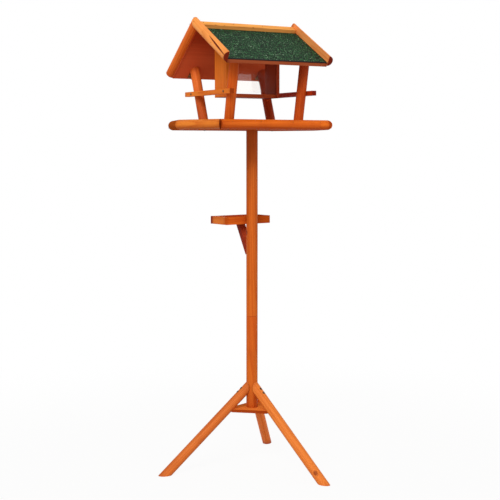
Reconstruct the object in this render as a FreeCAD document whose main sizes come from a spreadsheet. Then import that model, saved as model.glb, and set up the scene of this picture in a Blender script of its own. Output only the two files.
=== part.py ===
import FreeCAD, Part
import os
import re
import Sketcher
from FreeCAD import Placement, Rotation, Vector

# Covered feeding table on a round pole with three legs.
# The floor is at height zero, the long side of the roof runs along X, and the front is towards -Y.

doc = FreeCAD.newDocument("covered_table")
sheet = doc.addObject("Spreadsheet::Sheet", "Sizes")

SIZES = [
    # Pole, legs and the plate between the legs
    ("pole_dia", 30, "diameter of the round pole"),
    ("pole_length", 732, "length of the pole, from the plate to the tray"),
    ("leg_dia", 25, "diameter of a leg"),
    ("leg_radius", 240, "distance of a foot from the pole's axis"),
    ("leg_height", 213.7, "height at which a leg's axis meets the pole"),
    ("leg_seat_depth", 2, "depth of the hollow that seats a leg on the pole"),
    ("leg_turn", 169.5, "direction of the left leg, from X"),
    ("plate_top", 163, "height of the plate that carries the pole"),
    ("plate_thick", 8, "thickness of that plate"),
    ("plate_radius", 60, "distance of the plate's tips from the axis"),
    ("plate_tip_width", 22, "width of a tip of the plate"),
    # Tray
    ("tray_thick", 9, "thickness of the tray board"),
    ("tray_offset", -8.5, "middle of the tray along X from the pole"),
    ("tray_side_length", 311, "length of the tray's front side"),
    ("tray_depth", 258, "depth of the tray board"),
    ("tray_corner", 71, "turn of the tray's outline between a long and a slanting side"),
    ("rim_height", 25, "height of the half-round rim"),
    ("rim_thick", 12.5, "how far the rim stands out"),
    # House posts and perches
    ("house_offset", -7, "place of the house along X"),
    ("post_dia", 25, "diameter of a house post"),
    ("post_gap", 204, "distance between post axes along X"),
    ("post_spread_width", 176, "distance between post axes along Y, at the perches"),
    ("front_lean", 11.2, "outward lean of a front post"),
    ("rear_lean", 20, "outward lean of a rear post"),
    ("perch_thick", 12, "side of a square perch"),
    ("perch_length", 244, "length of a perch"),
    ("perch_height", 84.5, "height of a perch's axis over the tray"),
    ("perch_seat_depth", 0.8, "depth of the flat that seats a perch on a post"),
    # Feed silo
    ("silo_offset", -7, "place of the silo's middle from the house's middle"),
    ("silo_length", 157.7, "length of the silo over its end boards"),
    ("silo_width", 61, "width of an end board"),
    ("silo_board_thick", 8.5, "thickness of an end board"),
    ("silo_height", 74, "height of the silo's underside over the tray"),
    ("silo_floor_thick", 9, "thickness of the silo floor"),
    ("silo_floor_width", 55, "width of the silo floor"),
    ("pane_thick", 2, "thickness of a clear pane"),
    ("pane_clearance", 0.4, "play of a pane in its groove"),
    ("pane_edge_width", 5.5, "wood left outside a groove"),
    ("groove_depth", 3.5, "depth of a groove"),
    ("pane_gap", 6.5, "slot under a pane"),
    ("pane_top_gap", 3, "room over a pane"),
    # Roof
    ("house_height", 238, "height of the ridge under the roof boards, over the tray"),
    ("roof_pitch", 34.1, "half slope of the roof: how far each side falls from the ridge line"),
    ("roof_tilt", 4.3, "how far the whole roof leans back"),
    ("roof_offset", -10, "middle of the roof along X from the middle of the posts"),
    ("roof_length", 286.5, "length of the roof boards"),
    ("roof_slope_length", 186.5, "length of the felt from ridge to eave"),
    ("roof_thick", 9, "thickness of a roof board"),
    ("felt_thick", 2, "thickness of the felt"),
    ("roof_gap", 0.3, "gap between the roof and what it rests on"),
    ("batten_width", 20, "width of a ridge batten's top"),
    ("batten_thick", 9, "thickness of a ridge batten"),
    ("strip_height", 26, "height of a half-round gable strip"),
    ("strip_thick", 13, "how far a gable strip stands out"),
    ("strip_top_height", 18, "height of a gable strip over the felt"),
    ("strip_over_length", 1, "how far a gable strip passes the eave"),
    ("strip_round_radius", 6, "radius of the rounded gable top"),
    # Roof hinges on the rear posts
    ("hinge_length", 20, "length of a hinge"),
    ("hinge_leaf_width", 16, "width of a hinge leaf"),
    ("hinge_flat_depth", 3, "depth of the flat that seats a hinge on a post"),
    ("hinge_sheet_thick", 1.2, "thickness of a hinge leaf"),
    ("knuckle_dia", 5, "outer diameter of a hinge knuckle"),
    ("hinge_pin_dia", 2.5, "diameter of the hinge pin"),
    ("pin_clearance", 0.05, "play round the pin in the turning leaf"),
    ("knuckle_gap", 0.3, "gap between neighbouring knuckles"),
    ("pin_head_length", 0.8, "length of a pin's end over the knuckles"),
    # Bracket tray behind the pole
    ("bracket_turn", 7, "turn of the small tray about the pole"),
    ("bracket_drop_height", 245, "height of the tray over the small tray's underside"),
    ("bracket_height", 20, "height of its walls"),
    ("bracket_length", 142, "length of its long walls"),
    ("bracket_depth", 72, "depth over its long walls"),
    ("bracket_wall_thick", 8, "thickness of its walls"),
    ("bracket_base_thick", 5, "thickness of its base"),
    ("brace_width", 20, "width of the brace"),
    ("brace_thick", 12, "thickness of the brace"),
    ("brace_reach_length", 58, "where the brace meets the small tray, from the axis"),
    ("brace_height", 80, "height of the brace"),
    # Screws
    ("screw_dia", 3.5, "diameter of a wood screw"),
    ("screw_head_dia", 7, "diameter of a screw head"),
    ("screw_head_height", 1.2, "height of a screw head"),
    ("screw_length", 22, "length of a wood screw"),
    ("leg_screw_distance", 22, "place of the first leg screw, down the leg"),
    ("leg_screw_pitch", 13.5, "distance between two leg screws"),
]

# The last two cells set the pole's axis, so that the whole table is centred over the origin.
for row, (alias, size, note) in enumerate(SIZES + [
    ("pole_x", 0, "place of the pole's axis along X"),
    ("pole_y", 0, "place of the pole's axis along Y"),
], start=1):
    sheet.set("A%d" % row, note)
    sheet.set("B%d" % row, str(size))
    sheet.setAlias("B%d" % row, alias)
POLE_X_CELL = "B%d" % (len(SIZES) + 1)
POLE_Y_CELL = "B%d" % (len(SIZES) + 2)
doc.recompute()

ALIASES = {alias for alias, size, note in SIZES} | {"pole_x", "pole_y"}

# Sizes that follow from the ones above
RULES = {
    "pole_rad": "pole_dia / 2",
    "plate_under": "plate_top - plate_thick",
    "leg_run": "leg_radius - pole_rad",
    "leg_slope": "(atan(leg_height / leg_run) / 1 deg)",
    "leg_length": "sqrt(leg_run^2 + leg_height^2)",
    "tray_under": "plate_top + pole_length",
    "tray_top": "tray_under + tray_thick",
    "perch_level": "tray_top + perch_height",
    "silo_under": "tray_top + silo_height",
    "roof_ridge": "tray_top + house_height",
    "bracket_under": "tray_under - bracket_drop_height",
    "tray_half": "tray_depth / 2",
    "tray_point": "tray_side_length / 2 + tray_half / tan(tray_corner)",
    "slant_side": "tray_half / sin(tray_corner)",
    "panel_ridge": "roof_ridge + roof_thick / cos(roof_pitch)",
    "felt_ridge": "panel_ridge + felt_thick / cos(roof_pitch)",
    "batten_ridge": "felt_ridge + batten_thick / cos(roof_pitch)",
    "strip_apex": "felt_ridge + strip_top_height / cos(roof_pitch)",
    "front_pitch": "roof_pitch - roof_tilt",
    "rear_pitch": "roof_pitch + roof_tilt",
    "cover_thick": "felt_thick + roof_thick + roof_gap",
    "seat_front": "felt_ridge - cover_thick / cos(front_pitch)",
    "seat_rear": "felt_ridge - cover_thick / cos(rear_pitch)",
    "seat_drop": "cover_thick / cos(roof_pitch)",
    "tilt_y": "0 - felt_ridge * sin(roof_tilt)",
    "tilt_z": "felt_ridge * (1 - cos(roof_tilt))",
    "hinge_clear": "knuckle_dia / 2 + roof_gap",
    "hinge_down": "cos(rear_pitch) * felt_ridge - felt_thick - roof_thick - hinge_clear",
    "hinge_out": "post_dia / 2 - hinge_flat_depth + hinge_clear + cos(rear_lean) * rear_foot - sin(rear_lean) * tray_top",
    "hinge_depth": "(hinge_down * sin(rear_lean) + hinge_out * cos(rear_pitch)) / cos(rear_pitch - rear_lean)",
    "hinge_height": "(hinge_down * cos(rear_lean) - hinge_out * sin(rear_pitch)) / cos(rear_pitch - rear_lean)",
    "silo_half": "silo_width / 2",
    "pane_place": "silo_half - pane_edge_width - (pane_thick + pane_clearance) / 2",
    "pane_under": "silo_under + silo_floor_thick + pane_gap",
    "silo_inside": "silo_length - 2 * silo_board_thick",
    "perch_side": "post_gap / 2 + post_dia / 2 - perch_seat_depth + perch_thick / 2",
    "front_foot": "post_spread_width / 2 - perch_height * tan(front_lean)",
    "rear_foot": "post_spread_width / 2 - perch_height * tan(rear_lean)",
}


def full(text):
    """Write a rule out with the names of the sheet's cells."""
    def swap(match):
        word = match.group(0)
        if word in RULES:
            return "(" + full(RULES[word]) + ")"
        if word in ALIASES:
            return "Sizes." + word
        return word
    return re.sub(r"[a-z][a-z_]*", swap, text)


def value(text):
    """The number that a rule gives now."""
    result = sheet.evalExpression(full(text))
    return float(getattr(result, "Value", result))


def place(piece, x="0", y="0", z="0", axis=None, turn=None, local=False):
    """Tie a piece's place and turn to the sheet, from the pole's axis unless it is local."""
    if axis is not None:
        piece.Placement = Placement(Vector(0, 0, 0), Rotation(axis, value(turn)))
        piece.setExpression("Placement.Rotation.Angle", full(turn))
    piece.setExpression("Placement.Base.x", full(x if local else "pole_x + " + x))
    piece.setExpression("Placement.Base.y", full(y if local else "pole_y + " + y))
    piece.setExpression("Placement.Base.z", full(z))
    return piece


def named(piece, label):
    piece.Label = label
    return piece


def outline(body, plane, corners, arcs=None):
    """Closed sketch through the corners; arcs gives a side's radius, swell and, if set, its centre's X."""
    arcs = arcs or {}
    sketch = body.newObject("Sketcher::SketchObject", body.Name + "_outline")
    sketch.AttachmentSupport = [(next(f for f in body.Origin.OriginFeatures if f.Role == plane), "")]
    sketch.MapMode = "FlatFace"
    points = [Vector(value(x), value(y), 0) for x, y in corners]
    ends = []
    for number, start in enumerate(points):
        stop = points[(number + 1) % len(points)]
        if number not in arcs:
            sketch.addGeometry(Part.LineSegment(start, stop))
            ends.append((1, 2))
            continue
        radius, swell, centre = arcs[number]
        chord = stop.sub(start)
        half = chord.Length / 2
        side = Vector(chord.y, -chord.x, 0).normalize() * swell
        sag = value(radius) - max(value(radius) ** 2 - half ** 2, 0) ** 0.5
        middle = start + chord * 0.5 + side * sag
        sketch.addGeometry(Part.Arc(start, middle, stop))
        ends.append((1, 2) if swell > 0 else (2, 1))
    for number, corner in enumerate(corners):
        after = (number + 1) % len(corners)
        sketch.addConstraint(Sketcher.Constraint("Coincident", number, ends[number][1], after, ends[after][0]))
        for kind, size in zip(("DistanceX", "DistanceY"), corner):
            found = sketch.addConstraint(
                Sketcher.Constraint(kind, -1, 1, number, ends[number][0], value(size)))
            sketch.renameConstraint(found, "%s_%d" % (kind, number))
            sketch.setExpression("Constraints.%s_%d" % (kind, number), full(size))
    for number, (radius, swell, centre) in arcs.items():
        if centre is None:
            found = sketch.addConstraint(Sketcher.Constraint("Radius", number, value(radius)))
        else:
            found = sketch.addConstraint(Sketcher.Constraint("DistanceX", -1, 1, number, 3, value(centre)))
        sketch.renameConstraint(found, "Arc_%d" % number)
        sketch.setExpression("Constraints.Arc_%d" % number, full(radius if centre is None else centre))
    return sketch


def pad(body, sketch, length, both_ways=False):
    feature = body.newObject("PartDesign::Pad", body.Name + "_pad")
    feature.Profile = sketch
    feature.setExpression("Length", full(length))
    if both_ways:
        feature.SideType = "Symmetric"
    return feature


def slab(name, plane, corners, length, both_ways=True, arcs=None):
    """A body padded from one outline."""
    body = doc.addObject("PartDesign::Body", name)
    pad(body, outline(body, plane, corners, arcs), length, both_ways)
    return body


def box(name, length, width, height):
    piece = doc.addObject("Part::Box", name)
    piece.setExpression("Length", full(length))
    piece.setExpression("Width", full(width))
    piece.setExpression("Height", full(height))
    return piece


def rod(name, diameter, length):
    piece = doc.addObject("Part::Cylinder", name)
    piece.setExpression("Radius", full("(%s) / 2" % diameter))
    piece.setExpression("Height", full(length))
    return piece


def combine(kind, name, base, tool):
    piece = doc.addObject("Part::" + kind, name)
    piece.Base = base
    piece.Tool = tool
    return piece


def group(name, pieces):
    piece = doc.addObject("Part::Compound", name)
    piece.Links = pieces
    return piece


def screw(name, diameter="screw_dia", head="screw_head_dia", length="screw_length"):
    """Flat-headed screw, its head's underside at height zero and its point downwards."""
    body = doc.addObject("PartDesign::Body", name)
    sketch = outline(body, "XZ_Plane", [
        ("0", "0 - (%s)" % length),
        ("(%s) / 2" % diameter, "(%s) / 2 - (%s)" % (diameter, length)),
        ("(%s) / 2" % diameter, "0"),
        ("(%s) / 2" % head, "0"),
        ("(%s) / 2" % head, "screw_head_height"),
        ("0", "screw_head_height"),
    ])
    feature = body.newObject("PartDesign::Revolution", name + "_turned")
    feature.Profile = sketch
    feature.ReferenceAxis = (sketch, ["V_Axis"])
    feature.Angle = 360
    return body


X_AXIS = Vector(1, 0, 0)
Y_AXIS = Vector(0, 1, 0)
Z_AXIS = Vector(0, 0, 1)
nodes = []


def keep(label, piece):
    """Name a finished piece and list it."""
    nodes.append(named(piece, label))
    return piece


# Pole: stands on the plate and carries the tray
pole = doc.addObject("PartDesign::Body", "Pole")
pole_sketch = pole.newObject("Sketcher::SketchObject", "Pole_round")
pole_sketch.AttachmentSupport = [(next(f for f in pole.Origin.OriginFeatures if f.Role == "XY_Plane"), "")]
pole_sketch.MapMode = "FlatFace"
pole_sketch.addGeometry(Part.Circle(Vector(0, 0, 0), Z_AXIS, value("pole_rad")))
pole_sketch.addConstraint(Sketcher.Constraint("Coincident", 0, 3, -1, 1))
pole_sketch.addConstraint(Sketcher.Constraint("Diameter", 0, value("pole_dia")))
pole_sketch.setExpression("Constraints[1]", full("pole_dia"))
pad(pole, pole_sketch, "pole_length")
keep("pole", place(pole, z="plate_top"))

# Legs: round bars, level at the foot and hollowed to seat on the pole
leg_bar = rod("Leg_bar", "leg_dia", "leg_length + 2 * leg_dia")
place(leg_bar, "leg_radius + leg_dia * cos(leg_slope)", "0", "0 - leg_dia * sin(leg_slope)",
      Y_AXIS, "leg_slope - 90", local=True)
leg_room = box("Leg_room", "leg_radius + leg_height", "4 * leg_dia", "leg_height + leg_radius")
place(leg_room, "pole_rad - leg_seat_depth", "0 - 2 * leg_dia", "0", local=True)
leg_cut = combine("Common", "Leg_trimmed", leg_bar, leg_room)
leg_hollow = place(rod("Leg_hollow", "pole_dia", "leg_height + leg_radius"), local=True)
LEGS = {"left": "leg_turn", "rear": "leg_turn - 120", "right": "leg_turn - 240"}
for side, turn in LEGS.items():
    leg = combine("Cut", "Leg_" + side, leg_cut, leg_hollow)
    keep("leg_" + side, place(leg, axis=Z_AXIS, turn=turn))

# Two screws through the top of each leg into the pole
leg_screws = []
for number in range(2):
    piece = screw("Leg_screw_%d" % number)
    down = "(leg_screw_distance + %d * leg_screw_pitch)" % number
    place(piece,
          "pole_rad + %s * cos(leg_slope)" % down,
          "0",
          "leg_height + leg_dia / 2 / cos(leg_slope) - %s * sin(leg_slope)" % down,
          Y_AXIS, "90 - leg_slope", local=True)
    leg_screws.append(piece)
for side, turn in LEGS.items():
    keep("leg_screws_" + side, place(group("Leg_screws_" + side, leg_screws), axis=Z_AXIS, turn=turn))

# Plate between the legs: a triangle with cut tips, hollowed where the legs pass over its tips
plate = doc.addObject("PartDesign::Body", "Plate")
plate_corners = []
for quarter in range(3):
    for edge in ("-", "+"):
        radial = "cos(%d)" % (120 * quarter)
        cross = "sin(%d)" % (120 * quarter)
        plate_corners.append((
            "plate_radius * %s - (0 %s plate_tip_width / 2) * %s" % (radial, edge, cross),
            "plate_radius * %s + (0 %s plate_tip_width / 2) * %s" % (cross, edge, radial)))
pad(plate, outline(plate, "XY_Plane", plate_corners), "plate_thick")
doc.recompute()
plate_seat = plate.newObject("PartDesign::SubtractiveCylinder", "Plate_seat")
plate_seat.AttachmentSupport = [(next(f for f in plate.Origin.OriginFeatures if f.Role == "XY_Plane"), "")]
plate_seat.MapMode = "FlatFace"
plate_seat.AttachmentOffset = Placement(Vector(0, 0, 0), Rotation(Y_AXIS, value("leg_slope - 90")))
plate_seat.setExpression("Radius", full("leg_dia / 2"))
plate_seat.setExpression("Height", full("leg_length + 2 * leg_dia"))
plate_seat.setExpression("AttachmentOffset.Base.x", full("leg_radius + leg_dia * cos(leg_slope)"))
plate_seat.setExpression("AttachmentOffset.Base.z", full("0 - plate_under - leg_dia * sin(leg_slope)"))
plate_seat.setExpression("AttachmentOffset.Rotation.Angle", full("leg_slope - 90"))
doc.recompute()
seats = plate.newObject("PartDesign::PolarPattern", "Plate_seats")
seats.Originals = [plate_seat]
seats.Axis = (next(f for f in plate.Origin.OriginFeatures if f.Role == "Z_Axis"), [""])
seats.Angle = 360
seats.Occurrences = len(LEGS)
plate.Tip = seats
keep("spreader_plate", place(plate, z="plate_under", axis=Z_AXIS, turn="leg_turn"))

# Tray board: a long hexagon
tray = slab("Tray", "XY_Plane", [
    ("0 - tray_point", "0"),
    ("0 - tray_side_length / 2", "0 - tray_half"),
    ("tray_side_length / 2", "0 - tray_half"),
    ("tray_point", "0"),
    ("tray_side_length / 2", "tray_half"),
    ("0 - tray_side_length / 2", "tray_half"),
], "tray_thick", both_ways=False)
keep("tray_board", place(tray, "tray_offset", z="tray_under"))


def half_round(name, plane, low, high, bulge, length, way=1, both_ways=False):
    """Half-round bar: flat on its sketch's vertical axis and swelling towards way times X."""
    radius = "((((%s) - (%s))^2 / 4 + (%s)^2) / (2 * (%s)))" % (high, low, bulge, bulge)
    centre = "%d * (%s - %s)" % (way, bulge, radius)
    body = doc.addObject("PartDesign::Body", name)
    swell = way if value(high) > value(low) else -way
    sketch = outline(body, plane, [("0", low), ("0", high)], {0: (radius, swell, centre)})
    pad(body, sketch, length, both_ways)
    return body


# Half-round rims, flat against the edges of the tray board: the long ones cut square, and the slanting ones
# mitred at both ends
for side, sign in {"front": -1, "rear": 1}.items():
    rim = half_round("Rim_" + side, "XZ_Plane", "0", "rim_height", "rim_thick", "tray_side_length", both_ways=True)
    keep("tray_rim_" + side,
         place(rim, "tray_offset", "%d * tray_half" % sign, "tray_under", Z_AXIS, "%d * 90" % sign))

corner_length = "(rim_thick * tan(tray_corner / 2))"
point_length = "(rim_thick / tan(tray_corner))"
rim_shift = "((%s - %s) / 2)" % (point_length, corner_length)
for side, sign in {"front": -1, "rear": 1}.items():
    for end, end_sign in {"left": -1, "right": 1}.items():
        name = "Rim_%s_%s" % (side, end)
        bar = half_round(name + "_bar", "XZ_Plane", "0", "rim_height", "rim_thick",
                         "slant_side + %s + %s" % (corner_length, point_length), both_ways=True)
        place(bar,
              "tray_offset + %d * ((tray_side_length / 2 + tray_point) / 2 + %s * cos(tray_corner))"
              % (end_sign, rim_shift),
              "%d * (tray_half / 2 - %s * sin(tray_corner))" % (sign, rim_shift), "tray_under", Z_AXIS,
              "%d * (90 - tray_corner)" % sign if end_sign > 0 else "180 - %d * (90 - tray_corner)" % sign)
        # Room for this rim, between the mitre at the long rim and the tray's middle line
        corner = ("%d * tray_side_length / 2" % end_sign, "%d * tray_half" % sign)
        outer = ("%d * (tray_side_length / 2 + 2 * rim_thick * sin(tray_corner / 2))" % end_sign,
                 "%d * (tray_half + 2 * rim_thick * cos(tray_corner / 2))" % sign)
        far_side = "%d * (tray_point + 2 * rim_thick)" % end_sign
        rim_room = slab(name + "_room", "XY_Plane", [
            corner, outer, (far_side, outer[1]), (far_side, "0"), ("%d * tray_side_length / 4" % end_sign, "0"),
        ], "rim_height + 2 * tray_thick", both_ways=False)
        place(rim_room, "tray_offset", z="tray_under - tray_thick")
        keep("tray_rim_%s_%s" % (side, end), combine("Common", name, bar, rim_room))

# Room between the tray and the roof boards: trims the tops and feet of the posts
SIDES = {"front": -1, "rear": 1}
far = "(roof_slope_length + strip_height)"
post_room = {}
for side, sign in SIDES.items():
    out = "0 + %d * %s * cos(%s_pitch)" % (sign, far, side)
    room = slab("Post_room_" + side, "YZ_Plane", [
        ("0", "tray_top"),
        (out, "tray_top"),
        (out, "seat_%s - %s * sin(%s_pitch)" % (side, far, side)),
        ("0", "seat_" + side),
    ], "2 * post_gap")
    post_room[side] = place(room, "house_offset")

# Perches: square battens along the outer sides of the posts
perches = {}
for side, sign in {"left": -1, "right": 1}.items():
    perch = box("Perch_" + side, "perch_thick", "perch_length", "perch_thick")
    place(perch, "house_offset + %d * perch_side - perch_thick / 2" % sign,
          "0 - perch_length / 2", "perch_level - perch_thick / 2")
    perches[side] = keep("perch_" + side, perch)

# House posts: round bars that lean outwards, with a flat for the perch
for end, end_sign in {"left": -1, "right": 1}.items():
    for side, sign in SIDES.items():
        name = "Post_%s_%s" % (side, end)
        bar = rod(name + "_bar", "post_dia", "roof_ridge - tray_under + post_dia")
        place(bar, "house_offset + %d * post_gap / 2" % end_sign,
              "%d * (%s_foot - (post_dia + tray_thick) * tan(%s_lean))" % (sign, side, side),
              "tray_under - post_dia", X_AXIS, "0 - %d * %s_lean" % (sign, side))
        post = combine("Common", name + "_trimmed", bar, post_room[side])
        if side == "rear":
            flat = box(name + "_flat", "post_dia + 2 * hinge_flat_depth", "post_dia + hinge_leaf_width + hinge_flat_depth",
                       "post_dia")
            # The flat is drawn from the hinge line, so it is shifted back up the post and turned
            flat_up = "cos(90 + rear_lean) * post_dia + sin(90 + rear_lean) * hinge_clear"
            flat_in = "sin(90 + rear_lean) * post_dia - cos(90 + rear_lean) * hinge_clear"
            place(flat, "house_offset + %d * post_gap / 2 - post_dia / 2 - hinge_flat_depth" % end_sign,
                  "hinge_depth - (%s)" % flat_up, "hinge_height + %s" % flat_in,
                  X_AXIS, "0 - 90 - rear_lean")
            post = combine("Cut", name + "_flattened", post, flat)
        keep("post_%s_%s" % (side, end), combine("Cut", name, post, perches[end]))

# Perch screws, one at each crossing
for end, end_sign in {"left": -1, "right": 1}.items():
    pair = []
    for side, sign in SIDES.items():
        piece = screw("Perch_screw_%s_%s" % (side, end))
        place(piece, "house_offset + %d * (perch_side + perch_thick / 2)" % end_sign,
              "%d * post_spread_width / 2" % sign, "perch_level", Y_AXIS, "%d * 90" % end_sign)
        pair.append(piece)
    keep("perch_screws_" + end, group("Perch_screws_" + end, pair))

# Screws up through the tray into the posts
tray_screws = []
for end, end_sign in {"left": -1, "right": 1}.items():
    for side, sign in SIDES.items():
        piece = screw("Tray_screw_%s_%s" % (side, end), length="screw_length + tray_thick")
        place(piece, "house_offset + %d * post_gap / 2" % end_sign,
              "%d * (%s_foot - tray_thick / 2 * tan(%s_lean))" % (sign, side, side), "tray_under",
              X_AXIS, "180 - %d * %s_lean" % (sign, side))
        tray_screws.append(piece)
keep("post_screws", group("Post_screws", tray_screws))

# Feed silo: two grooved end boards, a floor and two clear panes
for end, end_sign in {"left": -1, "right": 1}.items():
    board = slab("Silo_end_" + end, "YZ_Plane", [
        ("0 - silo_half", "silo_under"),
        ("silo_half", "silo_under"),
        ("silo_half", "seat_rear - silo_half * tan(rear_pitch)"),
        ("0 - seat_drop * sin(roof_tilt)", "felt_ridge - seat_drop * cos(roof_tilt)"),
        ("0 - silo_half", "seat_front - silo_half * tan(front_pitch)"),
    ], "silo_board_thick")
    doc.recompute()
    for side, sign in SIDES.items():
        low = "%d * pane_place - (pane_thick + pane_clearance) / 2" % sign
        high = "%d * pane_place + (pane_thick + pane_clearance) / 2" % sign
        sketch = outline(board, "YZ_Plane", [
            (low, "pane_under"), (high, "pane_under"), (high, "roof_ridge"), (low, "roof_ridge")])
        sketch.AttachmentOffset = Placement(Vector(0, 0, 0), Rotation())
        inner = "%d * (silo_board_thick / 2 - groove_depth)" % (-end_sign)
        sketch.setExpression("AttachmentOffset.Base.z", full(inner))
        groove = board.newObject("PartDesign::Pocket", "Groove_%s_%s" % (end, side))
        groove.Profile = sketch
        groove.setExpression("Length", full("groove_depth"))
        groove.Reversed = end_sign < 0
    place(board, "house_offset + silo_offset + %d * (silo_length - silo_board_thick) / 2" % end_sign)
    keep("silo_end_" + end, board)

silo_floor = box("Silo_floor", "silo_inside", "silo_floor_width", "silo_floor_thick")
keep("silo_floor", place(silo_floor, "house_offset + silo_offset - silo_inside / 2",
                         "0 - silo_floor_width / 2", "silo_under"))
for side, sign in SIDES.items():
    pane_top = "seat_%s - (pane_place + pane_thick / 2) * tan(%s_pitch)" % (side, side)
    pane_height = pane_top + " - pane_under - pane_top_gap"
    pane = box("Pane_" + side, "silo_inside + 2 * groove_depth - pane_clearance", "pane_thick", pane_height)
    place(pane, "house_offset + silo_offset - (silo_inside + 2 * groove_depth - pane_clearance) / 2",
          "%d * pane_place - pane_thick / 2" % sign, "pane_under")
    keep("silo_pane_" + side, pane)


# Roof: two slopes in one piece, drawn upright round the ridge and then leant back as a whole
def on_roof(piece):
    return place(piece, "house_offset + roof_offset", "tilt_y", "tilt_z", X_AXIS, "0 - roof_tilt")


def layer(name, side, above, under, run):
    """Sheet on one slope between two heights at the ridge; run is the felt line's length."""
    sign = SIDES[side]
    corners = [("0", under)]
    for height in (under, above):
        depth = "((felt_ridge - (%s)) * cos(roof_pitch))" % height
        corners.append((
            "%d * (%s * cos(roof_pitch) - %s * sin(roof_pitch))" % (sign, run, depth),
            "felt_ridge - %s * sin(roof_pitch) - %s * cos(roof_pitch)" % (run, depth)))
    corners.append(("0", above))
    return slab(name, "YZ_Plane", corners, "roof_length")


batten_run = "(batten_width - batten_thick * tan(roof_pitch))"
for side, sign in SIDES.items():
    board = layer("Roof_" + side, side, "panel_ridge", "roof_ridge", "roof_slope_length")
    keep("roof_panel_" + side, on_roof(board))
    felt = layer("Felt_" + side, side, "felt_ridge", "panel_ridge", "roof_slope_length")
    keep("roof_felt_" + side, on_roof(felt))
    batten = layer("Batten_" + side, side, "batten_ridge", "felt_ridge", batten_run)
    keep("ridge_batten_" + side, on_roof(batten))

# Outline of each half of the gable strips, rounded at the top
round_centre = "(strip_apex - strip_round_radius / cos(roof_pitch))"
meet_y = "strip_round_radius * sin(roof_pitch)"
meet_z = "%s + strip_round_radius * cos(roof_pitch)" % round_centre
gable = {}
for side, sign in SIDES.items():
    low = "roof_ridge - %s" % far
    gable[side] = slab("Gable_" + side, "YZ_Plane", [
        ("0", low),
        ("%d * %s" % (sign, far), low),
        ("%d * %s" % (sign, far), meet_z),
        ("%d * %s" % (sign, meet_y), meet_z),
        ("0", "%s + strip_round_radius" % round_centre),
    ], "roof_length + 4 * strip_thick", arcs={3: ("strip_round_radius", sign, None)})

# Gable strips: half-round bars along the ends of the roof boards, square at the foot
spare = "strip_height"
for side, sign in SIDES.items():
    for end, end_sign in {"left": -1, "right": 1}.items():
        name = "Strip_%s_%s" % (side, end)
        high = "%d * strip_top_height" % (-sign)
        low = "%d * (strip_top_height - strip_height)" % (-sign)
        bar = half_round(name + "_bar", "XY_Plane", low, high, "strip_thick",
                         "roof_slope_length + strip_over_length + " + spare, way=end_sign)
        place(bar, "%d * roof_length / 2" % end_sign,
              "0 - %d * %s * cos(roof_pitch)" % (sign, spare),
              "felt_ridge + %s * sin(roof_pitch)" % spare,
              X_AXIS, "0 - %d * (90 + roof_pitch)" % sign, local=True)
        keep("gable_strip_%s_%s" % (side, end), on_roof(combine("Common", name, bar, gable[side])))

# Roof hinges: a fixed leaf on each rear post, a turning leaf under the rear roof board, and a pin
third = "(hinge_length / 3)"
LEAVES = {
    "post": {"turn": "0 - 90 - rear_lean", "way": -1, "bore": "hinge_pin_dia"},
    "roof": {"turn": "0 - rear_pitch", "way": 1, "bore": "hinge_pin_dia + 2 * pin_clearance"},
}
KNUCKLE_GAPS = {
    "post": [("0 - %s / 2 - knuckle_gap" % third, third + " + 2 * knuckle_gap")],
    "roof": [("0 - hinge_length / 2 - knuckle_gap", third + " + knuckle_gap"),
             (third + " / 2", third + " + knuckle_gap")],
}
for end, end_sign in {"left": -1, "right": 1}.items():
    at_hinge = ("house_offset + %d * post_gap / 2" % end_sign, "hinge_depth", "hinge_height")
    name = "Hinge_" + end

    pin = rod(name + "_pin", "hinge_pin_dia", "hinge_length + 2 * pin_head_length")
    pin_start = "%s - hinge_length / 2 - pin_head_length" % at_hinge[0]
    keep("hinge_pin_" + end, place(pin, pin_start, *at_hinge[1:], axis=Y_AXIS, turn="90"))

    # Leaves are drawn with the hinge line as origin and turned at the end
    for leaf, form in LEAVES.items():
        leaf_name = "%s_%s" % (name, leaf)
        way = form["way"]
        sheet_low = "hinge_clear - hinge_sheet_thick" if way > 0 else "0 - hinge_clear"
        plain = box(leaf_name + "_sheet", "hinge_length", "hinge_leaf_width", "hinge_sheet_thick")
        place(plain, "0 - hinge_length / 2", "0", sheet_low, local=True)
        barrel = rod(leaf_name + "_barrel", "knuckle_dia", "hinge_length")
        place(barrel, "0 - hinge_length / 2", axis=Y_AXIS, turn="90", local=True)
        solid = combine("Fuse", leaf_name + "_solid", plain, barrel)
        for number, (from_x, length) in enumerate(KNUCKLE_GAPS[leaf]):
            gap = rod("%s_gap_%d" % (leaf_name, number), "knuckle_dia + 2 * knuckle_gap", length)
            place(gap, from_x, axis=Y_AXIS, turn="90", local=True)
            solid = combine("Cut", "%s_cut_%d" % (leaf_name, number), solid, gap)
        hole = rod(leaf_name + "_hole", form["bore"], "2 * hinge_length")
        place(hole, "0 - hinge_length", axis=Y_AXIS, turn="90", local=True)
        solid = combine("Cut", leaf_name + "_bored", solid, hole)
        keep("hinge_leaf_%s_%s" % (leaf, end), place(solid, *at_hinge, axis=X_AXIS, turn=form["turn"]))

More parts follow.
